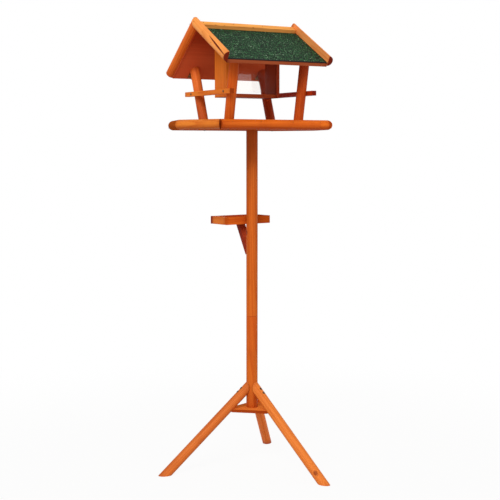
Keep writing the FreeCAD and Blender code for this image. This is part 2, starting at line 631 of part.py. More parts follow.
# Small open tray behind the pole, drawn with the pole's axis as origin and turned at the end
inner_depth = "bracket_depth - 2 * bracket_wall_thick"
BRACKET = {
    "long_near": ("0 - bracket_length / 2", "pole_rad", "0",
                  "bracket_length", "bracket_wall_thick", "bracket_height"),
    "long_far": ("0 - bracket_length / 2", "pole_rad + bracket_depth - bracket_wall_thick", "0",
                 "bracket_length", "bracket_wall_thick", "bracket_height"),
    "short_left": ("0 - bracket_length / 2", "pole_rad + bracket_wall_thick", "0",
                   "bracket_wall_thick", inner_depth, "bracket_height"),
    "short_right": ("bracket_length / 2 - bracket_wall_thick", "pole_rad + bracket_wall_thick", "0",
                    "bracket_wall_thick", inner_depth, "bracket_height"),
    "base": ("bracket_wall_thick - bracket_length / 2", "pole_rad + bracket_wall_thick", "0",
             "bracket_length - 2 * bracket_wall_thick", inner_depth, "bracket_base_thick"),
}
for side, (x, y, z, length, width, height) in BRACKET.items():
    wall = slab("Bracket_" + side, "XY_Plane", [
        (x, y),
        ("%s + %s" % (x, length), y),
        ("%s + %s" % (x, length), "%s + %s" % (y, width)),
        (x, "%s + %s" % (y, width)),
    ], height, both_ways=False)
    keep("bracket_" + side, place(wall, z="bracket_under", axis=Z_AXIS, turn="bracket_turn"))

# Brace under the small tray, cut to lie on the pole and on the tray's underside
brace_slope = "(atan(brace_height / (brace_reach_length - pole_rad)) / 1 deg)"
brace_cut = "(brace_thick / sin(%s))" % brace_slope
brace = slab("Brace", "YZ_Plane", [
    ("pole_rad", "0 - brace_height"),
    ("pole_rad", "0 - brace_height + brace_thick / cos(%s)" % brace_slope),
    ("brace_reach_length - %s" % brace_cut, "0"),
    ("brace_reach_length", "0"),
], "brace_width")
keep("bracket_brace", place(brace, z="bracket_under", axis=Z_AXIS, turn="bracket_turn"))

bracket_screws = []
for number, screw_sign in enumerate((-1, 1)):
    piece = screw("Bracket_screw_%d" % number)
    place(piece, "%d * pole_dia / 5" % screw_sign, "pole_rad + bracket_wall_thick",
          "bracket_under + (bracket_height + bracket_base_thick) / 2", X_AXIS, "0 - 90", local=True)
    bracket_screws.append(piece)
screws = place(group("Bracket_screws", bracket_screws), axis=Z_AXIS, turn="bracket_turn")
keep("bracket_screws", screws)


def outer_box():
    """Box round all the pieces."""
    whole = FreeCAD.BoundBox()
    for piece in nodes:
        whole.add(piece.Shape.optimalBoundingBox(False))
    return whole


def check_all():
    """Stop if any object failed or any piece has no sound solid."""
    faults = [piece.Label for piece in doc.Objects if "Invalid" in piece.State or "Error" in piece.State]
    for piece in nodes:
        if piece.Shape.isNull() or not piece.Shape.isValid() or not piece.Shape.Solids:
            faults.append(piece.Label)
    if faults:
        raise RuntimeError("these did not build: %s" % ", ".join(faults))


# Centre the whole over the origin by moving the pole's axis
doc.recompute()
check_all()
whole = outer_box()
sheet.set(POLE_X_CELL, "%.4f" % -whole.Center.x)
sheet.set(POLE_Y_CELL, "%.4f" % -whole.Center.y)
doc.recompute()
check_all()

os.makedirs("parts", exist_ok=True)
for piece in nodes:
    piece.Shape.exportStep("parts/%s.step" % piece.Label)
whole = outer_box()
print("pieces", len(nodes))
print("box", [round(v, 3) for v in (whole.XMin, whole.YMin, whole.ZMin, whole.XMax, whole.YMax, whole.ZMax)])
print("pole axis", round(value("pole_x"), 3), round(value("pole_y"), 3))
print("hinge line", round(value("pole_y + hinge_depth"), 3), round(value("hinge_height"), 3))
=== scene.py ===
import math
import bpy
import numpy as np
from mathutils import Matrix, Vector

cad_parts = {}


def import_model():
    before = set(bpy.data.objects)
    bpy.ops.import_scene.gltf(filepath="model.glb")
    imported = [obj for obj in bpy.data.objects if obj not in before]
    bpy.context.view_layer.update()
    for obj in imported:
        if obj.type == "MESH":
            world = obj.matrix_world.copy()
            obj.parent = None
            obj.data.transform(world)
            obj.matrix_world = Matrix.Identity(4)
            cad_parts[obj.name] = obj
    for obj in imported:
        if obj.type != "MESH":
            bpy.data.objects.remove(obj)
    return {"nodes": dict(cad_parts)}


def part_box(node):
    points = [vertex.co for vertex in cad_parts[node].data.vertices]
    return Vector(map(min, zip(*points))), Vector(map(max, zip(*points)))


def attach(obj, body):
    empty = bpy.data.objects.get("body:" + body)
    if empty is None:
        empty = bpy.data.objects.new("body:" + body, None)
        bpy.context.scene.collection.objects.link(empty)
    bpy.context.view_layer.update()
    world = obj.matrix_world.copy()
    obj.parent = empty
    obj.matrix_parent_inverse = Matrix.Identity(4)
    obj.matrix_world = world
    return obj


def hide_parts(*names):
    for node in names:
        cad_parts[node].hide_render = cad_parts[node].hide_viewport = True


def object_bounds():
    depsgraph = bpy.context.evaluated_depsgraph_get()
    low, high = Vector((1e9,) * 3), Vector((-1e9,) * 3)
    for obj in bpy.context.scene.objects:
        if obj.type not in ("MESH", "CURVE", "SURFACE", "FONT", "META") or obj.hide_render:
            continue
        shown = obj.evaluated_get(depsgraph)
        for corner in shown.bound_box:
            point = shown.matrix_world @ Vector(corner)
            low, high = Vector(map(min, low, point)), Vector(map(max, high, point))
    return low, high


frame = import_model()
NODES = frame["nodes"]
CAD_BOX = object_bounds()


# Shader maths written as expressions

class Shade:
    """A value in a material; arithmetic on it adds the Math nodes that work it out."""

    def __init__(self, finish, socket):
        self.finish = finish
        self.socket = socket

    def maths(self, operation, first, second=None):
        """Add one Math node for one or two values."""
        sockets = {0: first} if second is None else {0: first, 1: second}
        return self.finish.node("Math", {"operation": operation}, sockets)

    def __add__(self, other):
        return self.maths("ADD", self, other)

    __radd__ = __add__

    def __sub__(self, other):
        return self.maths("SUBTRACT", self, other)

    def __rsub__(self, other):
        return self.maths("SUBTRACT", other, self)

    def __mul__(self, other):
        return self.maths("MULTIPLY", self, other)

    def __truediv__(self, other):
        return self.maths("DIVIDE", self, other)

    def __pow__(self, other):
        return self.maths("POWER", self, other)

    def __abs__(self):
        return self.maths("ABSOLUTE", self)

    def fraction(self):
        return self.maths("FRACT", self)

    def least(self, other):
        return self.maths("MINIMUM", self, other)

    def most(self, other):
        return self.maths("MAXIMUM", self, other)

    def rise(self, low, high):
        """0 below low, 1 above high, and a smooth step between; high may be the smaller one."""
        return self.finish.node("MapRange", {"interpolation_type": "SMOOTHSTEP"},
                                {"Value": self, "From Min": low, "From Max": high})


class Finish:
    """The nodes of a new material, or of the sky that is given in place of a name."""

    def __init__(self, name):
        self.material = bpy.data.materials.new(name) if isinstance(name, str) else name
        self.material.use_nodes = True
        self.tree = self.material.node_tree
        self.tree.nodes.clear()

    def node(self, kind, settings=None, sockets=None, output=0):
        """Add a node of this type: its settings first, then the values or links of its sockets."""
        made = self.tree.nodes.new("ShaderNode" + kind)
        for name, value in (settings or {}).items():
            if name == "stops":
                self.set_stops(made.color_ramp, value)
            else:
                setattr(made, name, value)
        for name, value in (sockets or {}).items():
            if isinstance(value, Shade):
                self.tree.links.new(value.socket, made.inputs[name])
            else:
                made.inputs[name].default_value = value
        return Shade(self, made.outputs[output]) if made.outputs else None

    def set_stops(self, ramp, stops):
        """Give a colour ramp its places and the colours at them."""
        while len(ramp.elements) < len(stops):
            ramp.elements.new(0.5)
        for element, (place, tint) in zip(ramp.elements, stops):
            element.position = place
            element.color = tint

    def mix(self, factor, first, second):
        """Blend two colours."""
        return self.node("Mix", {"data_type": "RGBA"}, {0: factor, 6: first, 7: second}, 2)

    def noise(self, vector, scale, detail=2.0, roughness=0.5):
        """Soft noise with so many cells in a metre."""
        return self.node("TexNoise", {}, {
            "Vector": vector, "Scale": scale, "Detail": detail,
            "Roughness": roughness, "Distortion": 0.0})

    def here(self, output="Object"):
        """The place on the object in metres, or the way that its surface looks."""
        return self.node("TexCoord", {}, {}, output)

    def parts(self, vector):
        """The three numbers of a vector."""
        split = self.tree.nodes.new("ShaderNodeSeparateXYZ")
        self.tree.links.new(vector.socket, split.inputs[0])
        return [Shade(self, output) for output in split.outputs]

    def vector(self, x, y, z):
        """Three numbers as one vector."""
        return self.node("CombineXYZ", {}, {0: x, 1: y, 2: z})

    def out(self, surface, end="OutputMaterial"):
        """Lead the surface to the output and return the material."""
        self.node(end, {}, {"Surface": surface})
        return self.material


def colour(text):
    """A colour written as six hex digits, as the eye sees it, in the renderer's linear light."""
    seen = np.array([int(text[i:i + 2], 16) for i in (0, 2, 4)]) / 255
    linear = np.where(seen <= 0.04045, seen / 12.92, ((seen + 0.055) / 1.055) ** 2.4)
    return (*[float(x) for x in linear], 1.0)


# How a piece lies: its middle, its own directions and its size along them

def skin_of(node):
    """A node's points, each place once, and the three points of each of its triangles."""
    mesh = NODES[node].data
    points = np.empty(len(mesh.vertices) * 3)
    mesh.vertices.foreach_get("co", points)
    points, merged = np.unique(points.reshape(-1, 3).round(7), axis=0, return_inverse=True)
    mesh.calc_loop_triangles()
    corners = np.empty(len(mesh.loop_triangles) * 3, dtype=np.int32)
    mesh.loop_triangles.foreach_get("vertices", corners)
    return points, merged.reshape(-1)[corners].reshape(-1, 3)


def lie_of(node):
    """Return the middle, three directions and half sizes of a piece.

    The sides of a sawn or turned piece run along its grain, so the grain, its third direction, is the one
    that its faces, weighted by area, look in least. The first direction is the one they look in most."""
    points, corners = skin_of(node)
    a, b, c = points[corners].transpose(1, 0, 2)
    across = np.cross(b - a, c - a)
    area = np.linalg.norm(across, axis=1) + 1e-12
    spread = (across / area[:, None]).T @ across
    directions = np.linalg.eigh(spread)[1]
    grain = directions[:, 0]
    grain = grain * np.sign(grain[np.argmax(np.abs(grain))])
    face = directions[:, 2]
    axes = np.array([face, np.cross(grain, face), grain])
    along = points @ axes.T
    middle = (along.min(axis=0) + along.max(axis=0)) / 2 @ axes
    return middle, axes, (along.max(axis=0) - along.min(axis=0)) / 2


def solids_of(node):
    """The points of each separate solid of a node, found by passing the lowest number round triangles."""
    points, corners = skin_of(node)
    group = np.arange(len(points))
    before = None
    while before is None or (group != before).any():
        before = group.copy()
        np.minimum.at(group, corners, group[corners].min(axis=1)[:, None])
        group = group[group]
    return [points[group == one] for one in np.unique(group)]


def turn_of(axes):
    """The rotation from the object's directions to a piece's own ones."""
    return Matrix([list(map(float, row)) for row in axes])


def own_place(finish, middle, axes):
    """The place on a piece in metres from its middle, along its own three directions."""
    turn = turn_of(axes)
    shift = -(turn @ Vector([float(x) for x in middle]))
    return finish.node("Mapping", {"vector_type": "POINT"}, {
        "Vector": finish.here(), "Location": shift, "Rotation": turn.to_euler("XYZ")})


def own_normal(finish, axes):
    """The way the surface looks, along the piece's own three directions."""
    return finish.node("Mapping", {"vector_type": "POINT"}, {
        "Vector": finish.here("Normal"), "Rotation": turn_of(axes).to_euler("XYZ")})


# Stained and varnished softwood

# Shares of the stain's red, green and blue on each kind of wood, and the colour inside a crack; the deep
# stain is also the colour of the painted shade
EARLY_WOOD = (1.16, 1.30, 1.35)
LATE_WOOD = (0.90, 0.74, 0.62)
DEEP_STAIN_AND_SHADE = (0.52, 0.30, 0.24)
SAWN_END = (0.36, 0.16, 0.14)
KNOT = (0.32, 0.17, 0.14)
BELOW_SEAM = (0.95, 0.62, 0.5)
CRACK = "6a1f0a"

# Cells of the wood's patterns in a metre across the grain
WANDER = 22.0
BROAD_STREAK = 45.0
STREAK = 130.0
PORE = 1400.0
BLOTCH = 16.0
KNOT_EDGE = 380.0

# Shares of that scale along the grain, which draw the streaks, the pores and the knots out
STREAK_PULL = 0.07
PORE_PULL = 0.02
KNOT_PULL = 0.55

# A knot in its own radii: how far out the rings swell and by how much, its ragged edge and its dark core;
# and how dark it is
SWELL_REACH = 3.2
SWELL = 2.4
KNOT_RAGGED = 1.6
KNOT_CORE = 0.55
KNOT_DARK = 0.75

# How each piece's pattern is moved along by its number, so that no two are alike
PATTERN_STEP = np.array((0.37, 0.73, 1.31))

# How far the pith drifts sideways in a metre of the piece, and how far the rings wander, in metres
PITH_DRIFT = 0.012
RING_WANDER = 0.010

# Darker stain at the sawn ends: how far in metres it reaches in, how far past the end it would be full,
# and its strength
END_STAIN = 0.012
END_FULL = 0.002
END_DARK = 0.4

# The line round the pole: half its width in metres and its strength
SEAM_HALF = 0.0009
SEAM_DARK = 0.7

# The redder stain below that line: its length in metres, how far that wavers, the width of its upper
# edge, and its strength
RED_RUN = 0.16
RED_WAVER = 0.05
RED_EDGE = 0.0004
RED_STRENGTH = 0.42

# In metres: how far a painted shade fade wavers, how far a split slants from its middle to its end, half
# its soft edge
SHADE_FADE_WAVER = 0.03
SPLIT_SLANT = 0.0006
SPLIT_EDGE = 0.0003


def stained(stain, shares):
    """The stain's colour with shares taken of its red, green and blue."""
    return (*[min(1.0, part * share) for part, share in zip(colour(stain), shares)], 1.0)


def rings_and_knots(finish, place, shifted, ring, pith, knots):
    """How far a point is in the dark late wood of its growth ring, and how much of it is knot.

    A ring is the distance from the pith, which drifts along the piece, over the ring's width. Rings swell
    round each knot."""
    x, y, z = place
    sx, sy, sz = finish.parts(shifted)
    wander = finish.noise(finish.vector(sx, sy, sz * STREAK_PULL), WANDER)
    away_x = x + pith[0] + z * PITH_DRIFT
    away_y = y + pith[1]
    reach = (away_x * away_x + away_y * away_y) ** 0.5
    swirl = 0.0
    core = None
    for kx, ky, kz, radius in knots:
        near = ((x - kx) ** 2.0 + (y - ky) ** 2.0 + ((z - kz) * KNOT_PULL) ** 2.0) ** 0.5
        swirl = swirl + near.rise(radius * SWELL_REACH, 0.0) * (radius * SWELL)
        ragged = near + (finish.noise(shifted, KNOT_EDGE, 3.0, 0.6) - 0.5) * (radius * KNOT_RAGGED)
        dark_knot = ragged.rise(radius, radius * KNOT_CORE)
        core = core.most(dark_knot) if core else dark_knot
    phase = ((reach + swirl + (wander - 0.5) * RING_WANDER) / ring).fraction()
    return phase.rise(0.35, 0.88) * phase.rise(1.0, 0.92), core


def wood(node, stain, pattern, ring=0.0028, pith=(0.03, 0.0), figure=1.0, under_shade=0.3, gloss=0.08, side_shade=0.0,
         end=0.8, end_tint=SAWN_END, shade_fades=(), seam=None, knots=(), split=None):
    """Stained softwood: growth rings round a pith beside the piece, long soft streaks, pores, blotches,
    knots that the rings flow round, dark end grain, darker stain near the ends, and painted shade on the
    underside, on the narrow faces and along the piece.

    figure is how strongly the grain shows. Two strengths give how dark painted shade makes the underside
    and the narrow faces; end is how dark the end grain is, and end_tint gives the shares of the stain on
    the end grain. With an end of 0 or less, the end grain is about as light as the long faces. Each fade
    paints shade along one of the piece's own directions, from one place to another, by a strength. A seam
    is a fine line round the piece, with redder stain for a way below it. A knot is a place along the three
    directions and a radius. A split is a place across and along, half a length and half a width. Places
    are in metres from the piece's middle."""
    # The deep stain, which is also the colour that painted shade darkens towards
    deep = stained(stain, DEEP_STAIN_AND_SHADE)
    finish = Finish("wood_" + node)
    middle, axes, half = lie_of(node)
    half_long = float(half[2])
    place = own_place(finish, middle, axes)
    x, y, z = finish.parts(place)
    broadside, _, endwise = finish.parts(own_normal(finish, axes))
    up = finish.parts(finish.here("Normal"))[2]
    shifted = finish.node("VectorMath", {"operation": "ADD"}, {0: place, 1: tuple(pattern * PATTERN_STEP)})

    # Growth rings, streaks, blotches and pores
    late, core = rings_and_knots(finish, (x, y, z), shifted, ring, pith, knots)
    sx, sy, sz = finish.parts(shifted)
    pulled = finish.vector(sx, sy, sz * STREAK_PULL)
    streak = finish.noise(pulled, STREAK, 3.0, 0.6)
    broad = finish.noise(pulled, BROAD_STREAK)
    blotch = finish.noise(shifted, BLOTCH)
    pore = finish.noise(finish.vector(sx, sy, sz * PORE_PULL), PORE, 1.0)

    # The colour of the figure, then what darkens it
    grain = 0.45 + (late * 0.55 + streak.rise(0.35, 0.75) * 0.35 - 0.45) * figure
    tone = finish.mix(grain, stained(stain, EARLY_WOOD), stained(stain, LATE_WOOD))
    uneven = broad.rise(0.45, 0.75) * 0.32 + blotch.rise(0.48, 0.78) * 0.28 + pore.rise(0.62, 0.8) * 0.2
    tone = finish.mix(uneven.least(1.0) * figure, tone, deep)
    # Painted shade: darker where the surface looks down
    tone = finish.mix(up.rise(0.15, -0.9) * under_shade, tone, deep)
    # Painted shade on the narrow faces
    if side_shade:
        tone = finish.mix(abs(broadside).rise(0.75, 0.55) * side_shade, tone, deep)
    # Painted shade: each fade darkens the piece towards where it lies in shade
    for axis, start, stop, strength in shade_fades:
        wavering = (x, y, z)[axis] + (streak - 0.5) * SHADE_FADE_WAVER
        tone = finish.mix(wavering.rise(start, stop) * strength, tone, deep)
    if seam:
        below = (z + (blotch - 0.5) * RED_WAVER).rise(seam - RED_RUN, seam)
        below = below * z.rise(seam, seam - RED_EDGE)
        tone = finish.mix(below * RED_STRENGTH, tone, stained(stain, BELOW_SEAM))
        tone = finish.mix(abs(z - seam).rise(SEAM_HALF, SEAM_HALF / 3) * SEAM_DARK, tone, deep)
    near_end = (abs(z) + (streak - 0.5) * END_STAIN).rise(half_long - END_STAIN, half_long + END_FULL)
    tone = finish.mix(near_end * END_DARK, tone, deep)
    end_grain = abs(endwise).rise(0.55, 0.75)
    tone = finish.mix(end_grain * (late * 0.2 + end), tone, stained(stain, end_tint))
    if core:
        tone = finish.mix(core * KNOT_DARK, tone, stained(stain, KNOT))

    # Roughness and relief, with the split cut into it
    rough = 0.46 + late * 0.08 + end_grain * 0.25 + (streak - 0.5) * 0.10
    height = (1.0 - late) * 0.35 + streak * 0.30 + (1.0 - pore.rise(0.6, 0.8)) * 0.25
    if split:
        split_y, split_z, split_long, split_wide = split
        run = (z - split_z) / split_long
        lens = (1.0 - run * run).most(0.0) * split_wide
        crack = abs(y - split_y - run * SPLIT_SLANT).rise(lens + SPLIT_EDGE, lens - SPLIT_EDGE)
        crack = crack * abs(run).rise(1.0, 0.97)
        tone = finish.mix(crack, tone, colour(CRACK))
        height = height - crack * 4.0
    bump = finish.node("Bump", {}, {"Strength": 0.35, "Distance": 0.0006, "Height": height})
    return finish.out(finish.node("BsdfPrincipled", {}, {
        "Base Color": tone, "Roughness": rough, "Normal": bump, "Specular IOR Level": gloss}))


# Height of the line round the pole, from the pole's middle
SEAM = -0.121

# The gable strips' sawn ends took up much stain
DARK_ENDS = {"end": 1.0, "end_tint": (0.2, 0.05, 0.05)}

# Small knots on the front batten's outer face and on its low edge
BATTEN_KNOTS = (
    (0.006, 0.007, -0.097, 0.0022), (0.006, 0.006, -0.071, 0.002), (0.006, 0.008, 0.011, 0.002),
    (0.004, -0.011, -0.077, 0.002), (0.004, -0.011, -0.027, 0.0018), (0.004, -0.011, 0.048, 0.002))

# Each wooden piece: the stain's colour on it, the number of its pattern, and what differs from plain. The
# colour is set to how the piece looks where it stands, so it holds painted light and shade as well as the
# stain: pieces in shade get a darker stain, and some a lighter one that makes up for their shade.
WOODEN = {
    # Painted shade: the pole's fade darkens it below the tray and low down between the legs
    "pole": ("c75d1b", 1, {"pith": (0.004, 0.003), "ring": 0.0024, "seam": SEAM, "end": 0.34,
                           "knots": ((0.002, 0.015, 0.1, 0.005),),
                           "shade_fades": ((2, -0.28, -0.35, 0.3), (2, 0.25, 0.34, 0.42))}),
    "leg_left": ("cc682b", 2, {"pith": (0.006, 0.004)}),
    # A lighter stain that makes up for the shade this leg lies in is painted light; its fade is painted
    # shade at the foot
    "leg_rear": ("ec782c", 3, {"pith": (0.005, -0.004), "shade_fades": ((2, -0.120, -0.155, 0.9),),
                               "end": -0.155}),
    "leg_right": ("dc7732", 4, {"pith": (-0.005, 0.004), "knots": ((0.007, -0.0103, -0.122, 0.006),)}),
    # A lighter stain that makes up for the tray's shadow is painted light, and the plate's narrow faces
    # get painted shade
    "spreader_plate": ("ec8438", 5, {"gloss": 0.0, "side_shade": 1.0}),
    "tray_board": ("b4501c", 6, {"gloss": 0.0}),
    # Stronger painted shade on the underside of this rim and of tray_rim_front_left
    "tray_rim_front": ("d86317", 7, {"under_shade": 0.75, "end": 0.4,
                                     "knots": ((-0.006, 0.003, 0.1425, 0.005),)}),
    "tray_rim_front_right": ("d8641c", 8, {"end": 0.25}),
    "tray_rim_rear_right": ("c65c20", 9, {}),
    "tray_rim_rear": ("c9601e", 10, {}),
    "tray_rim_rear_left": ("a84e1a", 11, {"gloss": 0.0}),
    "tray_rim_front_left": ("d77326", 12, {"under_shade": 0.75}),
    "perch_left": ("dd7118", 13, {}),
    # A darker, redder stain than the left perch's: painted shade
    "perch_right": ("b83a14", 14, {}),
    # The posts' fade settings are painted shade beneath the roof, and on post_rear_left beneath the perch
    "post_front_left": ("cf5a18", 15, {"shade_fades": ((2, 0.02, 0.08, 0.25),), "end": 0.08}),
    "post_rear_left": ("e87430", 16, {"shade_fades": ((2, 0.02, -0.03, 0.65), (2, 0.068, 0.082, 0.4)),
                                      "end": 0.082}),
    "post_front_right": ("cc5219", 17, {"shade_fades": ((2, -0.01, 0.07, 0.65),), "end": 0.07}),
    "post_rear_right": ("ab3e17", 18, {}),
    "silo_end_left": ("e87c27", 19, {"figure": 0.6}),
    # A darker stain than the left end's: painted shade on its inner face
    "silo_end_right": ("ac401f", 20, {"figure": 0.6}),
    "silo_floor": ("b04a1e", 21, {}),
    # No painted shade on the roof panels' undersides; the rear panel's lighter stain is painted light and
    # its fade is painted shade towards the ridge
    "roof_panel_front": ("a24f30", 22, {"figure": 0.35, "under_shade": 0.0, "gloss": 0.0}),
    "roof_panel_rear": ("d6623a", 23, {"figure": 0.2, "under_shade": 0.0, "gloss": 0.0, "end": 0.07,
                                       "shade_fades": ((1, -0.03, 0.07, 0.95),)}),
    # Its fade paints shade across one face
    "ridge_batten_front": ("ffa858", 24, {"figure": 0.3, "gloss": 0.0, "end": 0.006,
                                          "shade_fades": ((0, 0.0048, 0.0058, 0.25),), "knots": BATTEN_KNOTS}),
    "ridge_batten_rear": ("f0a050", 25, {"figure": 0.7, "gloss": 0.0}),
    "gable_strip_front_left": ("f3954a", 26, {"figure": 0.8, "split": (0.008, -0.055, 0.056, 0.0018),
                                              **DARK_ENDS}),
    "gable_strip_front_right": ("f29350", 27, {
        "knots": ((0.0, 0.0165, 0.048, 0.003), (0.003, 0.0165, 0.003, 0.0035)), **DARK_ENDS}),
    "gable_strip_rear_left": ("d9641d", 28, DARK_ENDS),
    "gable_strip_rear_right": ("dc7630", 29, DARK_ENDS),
    # Its fade paints shade towards one end
    "bracket_long_near": ("cc5a1b", 30, {"gloss": 0.0, "end": 0.03,
                                         "shade_fades": ((2, 0.01, 0.03, 0.6),)}),
    "bracket_long_far": ("bb4a18", 31, {}),
    "bracket_short_left": ("cf6a24", 32, {}),
    "bracket_short_right": ("b84c1a", 33, {}),
    "bracket_base": ("b04a1c", 34, {}),
    # Painted shade on the brace's narrow faces
    "bracket_brace": ("a83c1c", 35, {"side_shade": 0.8}),
}


# Roofing felt with coloured mineral grains

# Cells in a metre of the grains, the speckle and the patches, and the grains' colours from dark to pale
FELT_GRAINS = 460.0
FELT_SPECKLE = 160.0
FELT_PATCH = 26.0
SLATE = [(0.0, colour("010603")), (0.42, colour("072110")), (0.68, colour("124220")),
         (0.85, colour("36723e")), (1.0, colour("e8f4e0"))]
# The black of the cut edges and the eave, and of the painted shadow beside the gable strips
BITUMEN_AND_SHADE = "0d0a08"

# Black along the eave, and painted shadow along the gables beside the strips: how far from the edge in
# metres each ends, and where it is full
EAVE_BLACK = (0.0042, 0.0030)
GABLE_SHADE = (0.0035, 0.0015)


def felt(node):
    """Felt: crushed green slate pressed in bitumen, each grain its own tone; black along the eave and at
    its cut edges, and painted shadow along the gables beside the strips."""
    finish = Finish("felt_" + node)
    middle, axes, half = lie_of(node)
    place = own_place(finish, middle, axes)
    broadside = finish.parts(own_normal(finish, axes))[0]
    along = finish.parts(place)[2]
    level = finish.parts(finish.here())[2]
    grain_colour, grain_far = [
        finish.node("TexVoronoi", {"feature": "F1"}, {"Vector": place, "Scale": FELT_GRAINS}, output)
        for output in (1, 0)]
    pick = finish.parts(grain_colour)[0]
    wide = finish.noise(place, FELT_PATCH, 3.0, 0.6)
    fine = finish.noise(place, FELT_SPECKLE, 2.0, 0.6)
    green = finish.node("ValToRGB", {"stops": SLATE}, {
        "Fac": pick * 0.92 + (fine - 0.5) * 0.22 + (wide - 0.5) * 0.12 - 0.03})
    eave = float(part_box(node)[0].z)
    gable = float(half[2])
    # Black along the eave, and painted shadow along the gables beside the strips
    black_eave_and_shade = level.rise(eave + EAVE_BLACK[0], eave + EAVE_BLACK[1])
    black_eave_and_shade = black_eave_and_shade.most(abs(along).rise(gable - GABLE_SHADE[0], gable - GABLE_SHADE[1]))
    shade = finish.mix(abs(broadside).rise(0.6, 0.8) * (1.0 - black_eave_and_shade), colour(BITUMEN_AND_SHADE), green)
    height = (1.0 - grain_far * 1.2) * 0.8 + fine * 0.4
    bump = finish.node("Bump", {}, {"Strength": 0.8, "Distance": 0.0007, "Height": height})
    return finish.out(finish.node("BsdfPrincipled", {}, {
        "Base Color": shade, "Roughness": 0.85 - pick * 0.15, "Normal": bump, "Specular IOR Level": 0.2}))


# Clear acrylic panes

# Cells of the unevenness in a metre, and how strongly each pane bends and mirrors light
ACRYLIC_CLOUD = 60.0
PANES = {"silo_pane_front": 1.12, "silo_pane_rear": 1.45}


def acrylic(node, index):
    """Clear acrylic, a little uneven, with frosted sawn edges."""
    finish = Finish("acrylic_" + node)
    middle, axes, _ = lie_of(node)
    cloud = finish.noise(own_place(finish, middle, axes), ACRYLIC_CLOUD, 3.0, 0.6)
    edge = abs(finish.parts(own_normal(finish, axes))[0]).rise(0.8, 0.5)
    return finish.out(finish.node("BsdfPrincipled", {}, {
        "Base Color": finish.mix(edge, colour("fefcfa"), colour("e4e8e2")),
        "Roughness": 0.02 + cloud * 0.03 + edge * 0.4,
        "Transmission Weight": 1.0, "Specular IOR Level": 0.5, "IOR": index}))


# Metal

# Cells in a metre of the cloudiness and of its fine grain
METAL_CLOUD = 300.0
METAL_GRAIN = 1500.0


def metal(name, bright, dull, roughness):
    """Plated metal with a faint cloudiness."""
    finish = Finish(name)
    cloud = finish.noise(finish.here(), METAL_CLOUD, 3.0, 0.6)
    fine = finish.noise(finish.here(), METAL_GRAIN, 1.0)
    return finish.out(finish.node("BsdfPrincipled", {}, {
        "Base Color": finish.mix(cloud.rise(0.35, 0.7), colour(bright), colour(dull)),
        "Metallic": 1.0, "Roughness": roughness + (cloud - 0.5) * 0.15 + (fine - 0.5) * 0.06}))


def dress(node, material):
    """Give all of a node's slots one material."""
    for slot in NODES[node].material_slots:
        slot.material = material


SCREW = metal("screw_plate", "6a5038", "402a1c", 0.42)
BRASS = metal("brass_plate", "8a5c2c", "5e3818", 0.42)
# Nails that were stained together with the wood
NAIL = metal("stained_nail", "c8742e", "9a4818", 0.55)

for name, (stain, pattern, extra) in WOODEN.items():
    dress(name, wood(name, stain, pattern, **extra))
for name in ("roof_felt_front", "roof_felt_rear"):
    dress(name, felt(name))
for name, index in PANES.items():
    dress(name, acrylic(name, index))
for name in NODES:
    if name.startswith("hinge"):
        dress(name, BRASS)


# Screws with a cross recess, and small nails

# A screw's cross recess: half a bar's width and length as shares of the head's radius, the depth as a
# share of its height, and the width of the sloping walls in metres
CROSS_WIDE = 0.13
CROSS_LONG = 0.62
CROSS_DEEP = 0.55
CROSS_WALL = 0.00012

# A screw head's dome: its share of the head's height, and the power of the radius that it falls by
DOME_SHARE = 0.75
DOME_POWER = 2.4
# Where a screw's point starts, as a share of its length
POINT_START = 0.8

# A nail's stub below its head: radii as shares of the head's, and depths in heights of the head
STUB_RADII = np.array((0.6, 0.5, 0.0))
STUB_DEPTHS = np.array((1.2, 6.0, 8.0))

# A plain screw's skin is its head where it is wider than this share of the head, and its shank over this
# share of its length from the point
HEAD_WIDE = 0.9
SHANK_LOW = 0.3


def ringed(radii, heights, turns, recess=None):
    """A closed skin round an axis: at turn a, ring k lies at (radius k cos a, radius k sin a, height k).

    The first and last rings are single points. A recess gives how far each point is lowered."""
    angle = np.arange(turns) * (2 * math.pi / turns)
    radius = np.array(radii[1:-1])[:, None]
    x = radius * np.cos(angle)
    y = radius * np.sin(angle)
    z = np.array(heights[1:-1])[:, None] + 0 * x
    rings = np.stack([x, y, z], axis=-1).reshape(-1, 3)
    points = np.vstack([[0, 0, heights[0]], rings, [0, 0, heights[-1]]])
    if recess:
        points[:, 2] -= recess(points)
    one = np.arange(turns)
    two = (one + 1) % turns
    last = 1 + (len(radii) - 3) * turns
    rows = (np.arange(len(radii) - 3) * turns)[:, None] + 1
    squares = np.stack([rows + one, rows + turns + one, rows + turns + two, rows + two], axis=-1)
    top = np.stack([np.zeros_like(one), 1 + one, 1 + two], axis=-1)
    point = np.stack([last + one, np.full_like(one, len(points) - 1), last + two], axis=-1)
    return points, [*squares.reshape(-1, 4).tolist(), *top.tolist(), *point.tolist()]


def cross(half_wide, half_long, depth):
    """A cross-shaped recess: as deep as depth where one of two bars covers a point, less in its walls."""
    def bar(along, across):
        inside = np.clip((half_long - np.abs(along)) / CROSS_WALL, 0, 1)
        return inside * np.clip((half_wide - np.abs(across)) / CROSS_WALL, 0, 1)

    def lower(points):
        x, y, z = points.T
        on_top = z > -depth * 1.2
        return depth * np.maximum(bar(x, y), bar(y, x)) * on_top
    return lower


def screw_form(head, head_height, shank, length, turns=40):
    """A screw from its top down: a domed head, which falls by a power of the radius and has a cross
    recess, then a straight shank and its point."""
    share = np.linspace(0, 1, 16)
    dome = head_height * DOME_SHARE * share ** DOME_POWER
    radii = [*(head * share), head, shank, shank, 0.0]
    heights = [*(-dome), -head_height, -head_height, -length * POINT_START, -length]
    recess = cross(head * CROSS_WIDE, head * CROSS_LONG, head_height * CROSS_DEEP)
    return ringed(radii, heights, turns, recess)


